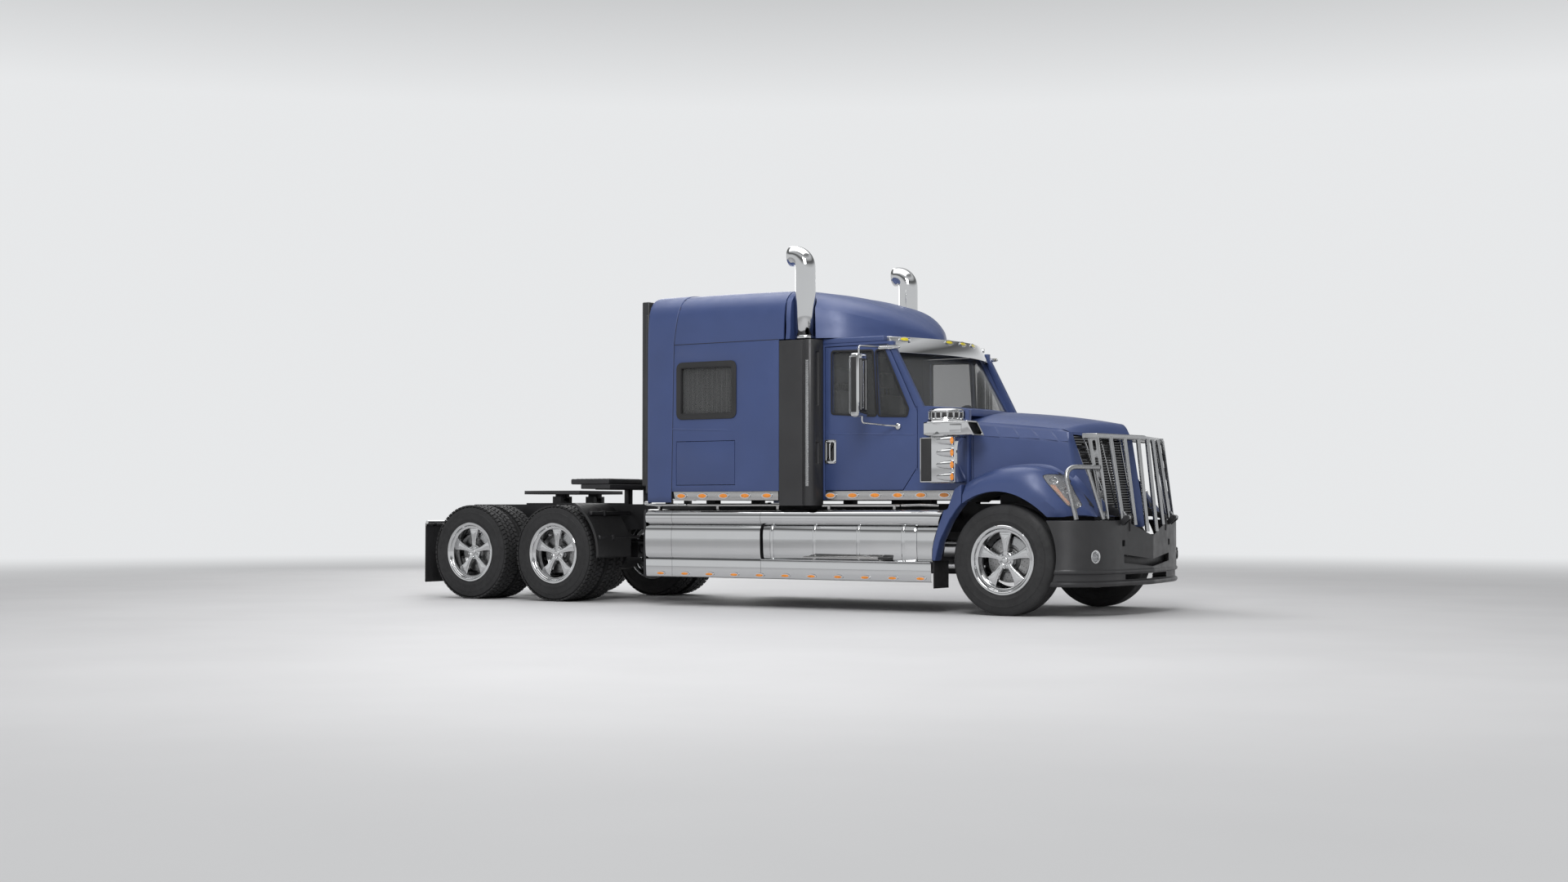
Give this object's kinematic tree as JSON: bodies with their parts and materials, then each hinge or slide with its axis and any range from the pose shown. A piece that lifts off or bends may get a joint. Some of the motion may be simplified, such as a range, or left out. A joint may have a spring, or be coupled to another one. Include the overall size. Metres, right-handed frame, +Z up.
{
  "type": "semi truck tractor unit",
  "caption": "Long-nose three-axle sleeper tractor with V-shaped grille, folding front guard, side skirts, twin upright exhausts and a fifth wheel.",
  "frame": {"origin": "on the ground under the middle of the overall length, on the centreline", "axes": "+X forward, +Y to the left, +Z up"},
  "size_m": [8.361, 2.9, 3.679],
  "materials": {
    "frame_black": "satin black",
    "body_blue": "matte blue",
    "steel_grey": "satin grey",
    "chrome": "polished",
    "brushed": "brushed",
    "rubber": "matt",
    "flap_rubber": "matt",
    "plastic_black": "grained",
    "glass_smoke": "clear smoke",
    "mirror_chrome": "polished",
    "interior": "grained grey",
    "seat_cloth": "woven",
    "curtain": "pleated",
    "lamp": "clear",
    "engine_grey": "cast"
  },
  "bodies": {
    "chassis": {"frame_rails": "frame_black", "crossmembers": "frame_black", "front_axle": "frame_black", "drive_axles": "frame_black", "rear_suspension": "frame_black", "powertrain": "engine_grey", "bumper": "steel_grey", "cab_floor": "frame_black", "cab_sides": "body_blue", "cab_glass": "glass_smoke", "cowl": "body_blue", "cab_roof": "body_blue", "sun_visor": "chrome", "sleeper_roof": "body_blue", "roof_fairing": "body_blue", "sleeper_sides": "body_blue", "sleeper_back": "steel_grey", "exhaust_towers": "steel_grey", "exhaust_stacks": "chrome", "air_cleaners": "chrome", "light_strips": "brushed", "side_skirts": "chrome", "fuel_tanks": "chrome", "dashboard": "interior", "seats": "seat_cloth", "bunk": "seat_cloth", "curtains": "curtain", "rear_deck": "frame_black", "rear_guards": "plastic_black", "fender_extensions": "body_blue", "fifth_wheel_base": "frame_black"},
    "hood": {"hood": "body_blue", "headlamps": "lamp", "grille": "chrome"},
    "guard": {"bull_bar": "brushed"},
    "fifth_wheel": {"fifth_wheel": "steel_grey"},
    "door_right": {"door_right": "body_blue", "door_glass_right": "glass_smoke", "mirror_right": "mirror_chrome"},
    "hatch_right": {"hatch_right": "body_blue"},
    "knuckle_right": {"knuckle_right": "frame_black"},
    "wheel_front_right": {"tyre_front_right": "rubber", "wheel_front_right": "chrome"},
    "wheel_middle_right": {"tyre_middle_right": "rubber", "wheel_middle_right": "chrome"},
    "wheel_rear_right": {"tyre_rear_right": "rubber", "wheel_rear_right": "chrome"},
    "door_left": {"door_left": "body_blue", "door_glass_left": "glass_smoke", "mirror_left": "mirror_chrome"},
    "hatch_left": {"hatch_left": "body_blue"},
    "knuckle_left": {"knuckle_left": "frame_black"},
    "wheel_front_left": {"tyre_front_left": "rubber", "wheel_front_left": "chrome"},
    "wheel_middle_left": {"tyre_middle_left": "rubber", "wheel_middle_left": "chrome"},
    "wheel_rear_left": {"tyre_rear_left": "rubber", "wheel_rear_left": "chrome"}
  },
  "joints": [
    {"name": "steer_right", "type": "hinge", "parent": "chassis", "child": "knuckle_right", "pos_m": [3.145, -0.93, 0.525], "axis": [0, 0, 1], "range_deg": [-35, 35]},
    {"name": "front_wheel_right", "type": "hinge", "parent": "knuckle_right", "child": "wheel_front_right", "pos_m": [3.145, -1.065, 0.525], "axis": [0, 1, 0], "continuous": true},
    {"name": "middle_wheels_right", "type": "hinge", "parent": "chassis", "child": "wheel_middle_right", "pos_m": [-2.299, -0.9, 0.525], "axis": [0, 1, 0], "continuous": true},
    {"name": "rear_wheels_right", "type": "hinge", "parent": "chassis", "child": "wheel_rear_right", "pos_m": [-3.503, -0.9, 0.525], "axis": [0, 1, 0], "continuous": true},
    {"name": "door_hinge_right", "type": "hinge", "parent": "chassis", "child": "door_right", "pos_m": [2.145, -1.04, 1.9], "axis": [0, 0, 1], "range_deg": [0, 65]},
    {"name": "hatch_hinge_right", "type": "hinge", "parent": "chassis", "child": "hatch_right", "pos_m": [-0.2525, -1.214, 1.699], "axis": [-1, 0, 0], "range_deg": [0, 80]},
    {"name": "steer_left", "type": "hinge", "parent": "chassis", "child": "knuckle_left", "pos_m": [3.145, 0.93, 0.525], "axis": [0, 0, 1], "range_deg": [-35, 35]},
    {"name": "front_wheel_left", "type": "hinge", "parent": "knuckle_left", "child": "wheel_front_left", "pos_m": [3.145, 1.065, 0.525], "axis": [0, 1, 0], "continuous": true},
    {"name": "middle_wheels_left", "type": "hinge", "parent": "chassis", "child": "wheel_middle_left", "pos_m": [-2.299, 0.9, 0.525], "axis": [0, 1, 0], "continuous": true},
    {"name": "rear_wheels_left", "type": "hinge", "parent": "chassis", "child": "wheel_rear_left", "pos_m": [-3.503, 0.9, 0.525], "axis": [0, 1, 0], "continuous": true},
    {"name": "door_hinge_left", "type": "hinge", "parent": "chassis", "child": "door_left", "pos_m": [2.145, 1.04, 1.9], "axis": [0, 0, -1], "range_deg": [0, 65]},
    {"name": "hatch_hinge_left", "type": "hinge", "parent": "chassis", "child": "hatch_left", "pos_m": [-0.2525, 1.214, 1.699], "axis": [1, 0, 0], "range_deg": [0, 80]},
    {"name": "hood_tilt", "type": "hinge", "parent": "chassis", "child": "hood", "pos_m": [4.115, 0, 0.93], "axis": [0, 1, 0], "range_deg": [0, 60]},
    {"name": "guard_fold", "type": "hinge", "parent": "chassis", "child": "guard", "pos_m": [4.161, 0, 0.93], "axis": [0, 1, 0], "range_deg": [0, 90]},
    {"name": "fifth_wheel_tilt", "type": "hinge", "parent": "chassis", "child": "fifth_wheel", "pos_m": [-2.901, 0, 1.13], "axis": [0, 1, 0], "range_deg": [-10, 10]}
  ],
  "couplings": [
    {"joint": "steer_left", "follows": "steer_right", "ratio": 1},
    {"joint": "guard_fold", "follows": "hood_tilt", "ratio": 1.5}
  ]
}
